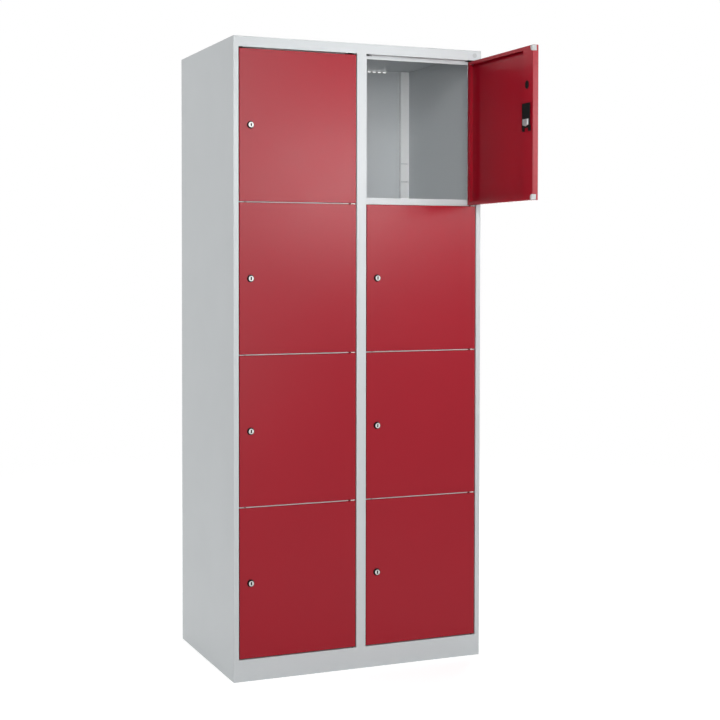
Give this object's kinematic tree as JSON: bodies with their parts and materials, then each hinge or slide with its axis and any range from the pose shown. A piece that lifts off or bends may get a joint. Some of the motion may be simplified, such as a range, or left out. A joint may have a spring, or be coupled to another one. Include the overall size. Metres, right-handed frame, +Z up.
{
  "type": "compartment locker",
  "caption": "Upright steel locker with columns of small lockable compartments, red inset doors on pivot hinges, each with its own cam lock, in a light grey carcass on a plinth.",
  "frame": {"origin": "on the floor, under the middle of the carcass footprint, on the foot of the partition", "axes": "+Z up, +X to the right seen from the front, +Y from the doors to the back"},
  "size_m": [0.8, 0.8526, 1.85],
  "materials": {
    "carcass_paint": "smooth light grey powder coat, satin",
    "post_paint": "smooth pale grey powder coat, satin",
    "door_paint": "smooth ruby red powder coat, satin",
    "lock_black": "black moulded plastic",
    "lock_nickel": "nickel plated, lightly brushed",
    "cam_zinc": "zinc plated steel",
    "buffer_grey": "light grey soft plastic",
    "hinge_nylon": "white nylon",
    "pin_steel": "bright turned steel",
    "badge_disc": "plain grey disc"
  },
  "bodies": {
    "carcass": {"left_side_panel": "carcass_paint", "right_side_panel": "carcass_paint", "centre_post": "carcass_paint", "partition": "carcass_paint", "top_panel": "carcass_paint", "base_panel": "carcass_paint", "back_panel": "carcass_paint", "rear_posts": "post_paint", "hinge_pins": "pin_steel", "hinge_blocks": "hinge_nylon", "badge": "badge_disc", "shelf_left_1": "carcass_paint", "shelf_left_2": "carcass_paint", "shelf_left_3": "carcass_paint", "shelf_right_1": "carcass_paint", "shelf_right_2": "carcass_paint", "shelf_right_3": "carcass_paint"},
    "door_left_1": {"door_left_1_panel": "door_paint", "door_left_1_lock_housing": "lock_black", "door_left_1_buffers": "buffer_grey"},
    "lock_left_1": {"door_left_1_lock_core": "lock_nickel", "door_left_1_lock_cam": "cam_zinc"},
    "door_left_2": {"door_left_2_panel": "door_paint", "door_left_2_lock_housing": "lock_black", "door_left_2_buffers": "buffer_grey"},
    "lock_left_2": {"door_left_2_lock_core": "lock_nickel", "door_left_2_lock_cam": "cam_zinc"},
    "door_left_3": {"door_left_3_panel": "door_paint", "door_left_3_lock_housing": "lock_black", "door_left_3_buffers": "buffer_grey"},
    "lock_left_3": {"door_left_3_lock_core": "lock_nickel", "door_left_3_lock_cam": "cam_zinc"},
    "door_left_4": {"door_left_4_panel": "door_paint", "door_left_4_lock_housing": "lock_black", "door_left_4_buffers": "buffer_grey"},
    "lock_left_4": {"door_left_4_lock_core": "lock_nickel", "door_left_4_lock_cam": "cam_zinc"},
    "door_right_1": {"door_right_1_panel": "door_paint", "door_right_1_lock_housing": "lock_black", "door_right_1_buffers": "buffer_grey"},
    "lock_right_1": {"door_right_1_lock_core": "lock_nickel", "door_right_1_lock_cam": "cam_zinc"},
    "door_right_2": {"door_right_2_panel": "door_paint", "door_right_2_lock_housing": "lock_black", "door_right_2_buffers": "buffer_grey"},
    "lock_right_2": {"door_right_2_lock_core": "lock_nickel", "door_right_2_lock_cam": "cam_zinc"},
    "door_right_3": {"door_right_3_panel": "door_paint", "door_right_3_lock_housing": "lock_black", "door_right_3_buffers": "buffer_grey"},
    "lock_right_3": {"door_right_3_lock_core": "lock_nickel", "door_right_3_lock_cam": "cam_zinc"},
    "door_right_4": {"door_right_4_panel": "door_paint", "door_right_4_lock_housing": "lock_black", "door_right_4_buffers": "buffer_grey"},
    "lock_right_4": {"door_right_4_lock_core": "lock_nickel", "door_right_4_lock_cam": "cam_zinc"}
  },
  "joints": [
    {"name": "door_left_1_swing", "type": "hinge", "parent": "carcass", "child": "door_left_1", "pos_m": [-0.0254, -0.2447, 1.5984], "axis": [0, 0, 1], "range_deg": [0, 110]},
    {"name": "lock_left_1_turn", "type": "hinge", "parent": "door_left_1", "child": "lock_left_1", "pos_m": [-0.34825, -0.25, 1.5984], "axis": [0, -1, 0], "range_deg": [0, 90]},
    {"name": "door_left_2_swing", "type": "hinge", "parent": "carcass", "child": "door_left_2", "pos_m": [-0.0254, -0.2447, 1.1602], "axis": [0, 0, 1], "range_deg": [0, 110]},
    {"name": "lock_left_2_turn", "type": "hinge", "parent": "door_left_2", "child": "lock_left_2", "pos_m": [-0.34825, -0.25, 1.1602], "axis": [0, -1, 0], "range_deg": [0, 90]},
    {"name": "door_left_3_swing", "type": "hinge", "parent": "carcass", "child": "door_left_3", "pos_m": [-0.0254, -0.2447, 0.722], "axis": [0, 0, 1], "range_deg": [0, 110]},
    {"name": "lock_left_3_turn", "type": "hinge", "parent": "door_left_3", "child": "lock_left_3", "pos_m": [-0.34825, -0.25, 0.722], "axis": [0, -1, 0], "range_deg": [0, 90]},
    {"name": "door_left_4_swing", "type": "hinge", "parent": "carcass", "child": "door_left_4", "pos_m": [-0.0254, -0.2447, 0.2838], "axis": [0, 0, 1], "range_deg": [0, 110]},
    {"name": "lock_left_4_turn", "type": "hinge", "parent": "door_left_4", "child": "lock_left_4", "pos_m": [-0.34825, -0.25, 0.2838], "axis": [0, -1, 0], "range_deg": [0, 90]},
    {"name": "door_right_1_swing", "type": "hinge", "parent": "carcass", "child": "door_right_1", "pos_m": [0.3741, -0.2447, 1.5984], "axis": [0, 0, 1], "range_deg": [-90.6, 19.4]},
    {"name": "lock_right_1_turn", "type": "hinge", "parent": "door_right_1", "child": "lock_right_1", "pos_m": [0.38278, -0.56748, 1.5984], "axis": [0.9999, 0.0105, 0], "range_deg": [0, 90]},
    {"name": "door_right_2_swing", "type": "hinge", "parent": "carcass", "child": "door_right_2", "pos_m": [0.3741, -0.2447, 1.1602], "axis": [0, 0, 1], "range_deg": [0, 110]},
    {"name": "lock_right_2_turn", "type": "hinge", "parent": "door_right_2", "child": "lock_right_2", "pos_m": [0.05125, -0.25, 1.1602], "axis": [0, -1, 0], "range_deg": [0, 90]},
    {"name": "door_right_3_swing", "type": "hinge", "parent": "carcass", "child": "door_right_3", "pos_m": [0.3741, -0.2447, 0.722], "axis": [0, 0, 1], "range_deg": [0, 110]},
    {"name": "lock_right_3_turn", "type": "hinge", "parent": "door_right_3", "child": "lock_right_3", "pos_m": [0.05125, -0.25, 0.722], "axis": [0, -1, 0], "range_deg": [0, 90]},
    {"name": "door_right_4_swing", "type": "hinge", "parent": "carcass", "child": "door_right_4", "pos_m": [0.3741, -0.2447, 0.2838], "axis": [0, 0, 1], "range_deg": [0, 110]},
    {"name": "lock_right_4_turn", "type": "hinge", "parent": "door_right_4", "child": "lock_right_4", "pos_m": [0.05125, -0.25, 0.2838], "axis": [0, -1, 0], "range_deg": [0, 90]}
  ]
}
